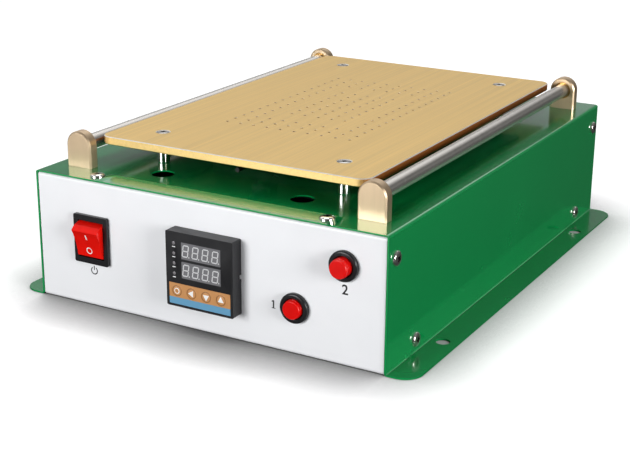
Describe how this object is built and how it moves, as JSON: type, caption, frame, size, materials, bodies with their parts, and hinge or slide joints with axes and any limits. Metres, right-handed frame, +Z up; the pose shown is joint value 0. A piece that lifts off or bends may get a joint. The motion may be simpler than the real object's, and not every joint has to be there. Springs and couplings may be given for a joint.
{
  "type": "lcd screen separator",
  "caption": "Bench-top heated vacuum plate with side rods on a flanged sheet-steel case, with a temperature controller, a rocker switch and push buttons on its front panel.",
  "frame": {"origin": "middle of the footprint, on the surface that the part stands on", "axes": "-Y is the side with the control panel, +X is to the right of someone who faces the panel, +Z is up"},
  "size_m": [0.288, 0.3688, 0.1085],
  "materials": {
    "green_coat": "glossy green powder coat",
    "white_coat": "smooth white powder coat",
    "bright_screws": "bright nickel plate",
    "gold_plate": "brushed, gold anodised",
    "steel_standoffs": "turned steel",
    "steel_rods": "ground and polished",
    "champagne_metal": "fine brushed, champagne",
    "bronze": "sintered bronze",
    "black_plastic": "fine matte",
    "red_plastic": "glossy red",
    "brass_terminals": "plain",
    "window_plastic": "smoked window",
    "keypad_film": "printed film",
    "button_black": "semi-gloss",
    "bare_aluminium": "mill finish",
    "heater_silicone": "silicone mat",
    "clear_hose": "milky silicone",
    "black_rubber": "soft black",
    "motor_steel": "zinc plated",
    "relay_plastic": "off-white"
  },
  "bodies": {
    "base": {"cover": "green_coat", "chassis_tray": "white_coat", "case_screws": "bright_screws", "heated_plate": "gold_plate", "plate_screws": "bright_screws", "standoffs": "steel_standoffs", "standoff_screws": "bright_screws", "rod_brackets": "champagne_metal", "rod_bushes": "bronze", "bracket_screws": "bright_screws", "rocker_housing": "black_plastic", "rocker_terminals": "brass_terminals", "controller_housing": "black_plastic", "controller_windows": "window_plastic", "controller_keypad": "keypad_film", "controller_clamp": "black_plastic", "controller_rear_cover": "black_plastic", "controller_terminals": "brass_terminals", "button_rings": "button_black", "button_nuts": "bright_screws", "button_contacts": "black_plastic", "mains_inlet": "black_plastic", "inlet_pins": "bright_screws", "inlet_screws": "bright_screws", "vacuum_chamber": "bare_aluminium", "chamber_screws": "bright_screws", "heater_mats": "heater_silicone", "temperature_probe": "motor_steel", "probe_clip": "bare_aluminium", "vacuum_hose": "clear_hose", "hose_grommet": "black_rubber", "pump_head": "black_plastic", "pump_head_cover": "black_plastic", "pump_motor": "motor_steel", "pump_cradle": "motor_steel", "pump_feet": "black_rubber", "pump_screws": "bright_screws", "relay": "relay_plastic", "relay_heat_sink": "bare_aluminium", "power_supply": "bare_aluminium", "supply_screws": "bright_screws", "earth_stud": "brass_terminals", "earth_nuts": "brass_terminals"},
    "rod_left": {"rod_left": "steel_rods"},
    "rod_right": {"rod_right": "steel_rods"},
    "rocker_paddle": {"rocker_paddle": "red_plastic"},
    "key_set": {"key_set": "keypad_film"},
    "key_left": {"key_left": "keypad_film"},
    "key_down": {"key_down": "keypad_film"},
    "key_up": {"key_up": "keypad_film"},
    "upper_button_cap": {"upper_button_cap": "red_plastic"},
    "lower_button_cap": {"lower_button_cap": "red_plastic"}
  },
  "joints": [
    {"name": "rod_left_spin", "type": "hinge", "parent": "base", "child": "rod_left", "pos_m": [-0.1055, 0.0037, 0.099], "axis": [0, 1, 0], "continuous": true},
    {"name": "rod_right_spin", "type": "hinge", "parent": "base", "child": "rod_right", "pos_m": [0.1055, 0.0037, 0.099], "axis": [0, 1, 0], "continuous": true},
    {"name": "rocker_tilt", "type": "hinge", "parent": "base", "child": "rocker_paddle", "pos_m": [-0.0826, -0.1744, 0.0455], "axis": [-1, 0, 0], "range_deg": [0, 34]},
    {"name": "upper_button_press", "type": "slide", "parent": "base", "child": "upper_button_cap", "axis": [0, 1, 0], "range_m": [0, 0.0035], "stiffness_N_per_m": 600},
    {"name": "lower_button_press", "type": "slide", "parent": "base", "child": "lower_button_cap", "axis": [0, 1, 0], "range_m": [-0.0027, 0.0008], "stiffness_N_per_m": 600},
    {"name": "key_set_press", "type": "slide", "parent": "base", "child": "key_set", "axis": [0, 1, 0], "range_m": [0, 0.0004], "stiffness_N_per_m": 1000},
    {"name": "key_left_press", "type": "slide", "parent": "base", "child": "key_left", "axis": [0, 1, 0], "range_m": [0, 0.0004], "stiffness_N_per_m": 1000},
    {"name": "key_down_press", "type": "slide", "parent": "base", "child": "key_down", "axis": [0, 1, 0], "range_m": [0, 0.0004], "stiffness_N_per_m": 1000},
    {"name": "key_up_press", "type": "slide", "parent": "base", "child": "key_up", "axis": [0, 1, 0], "range_m": [0, 0.0004], "stiffness_N_per_m": 1000}
  ]
}
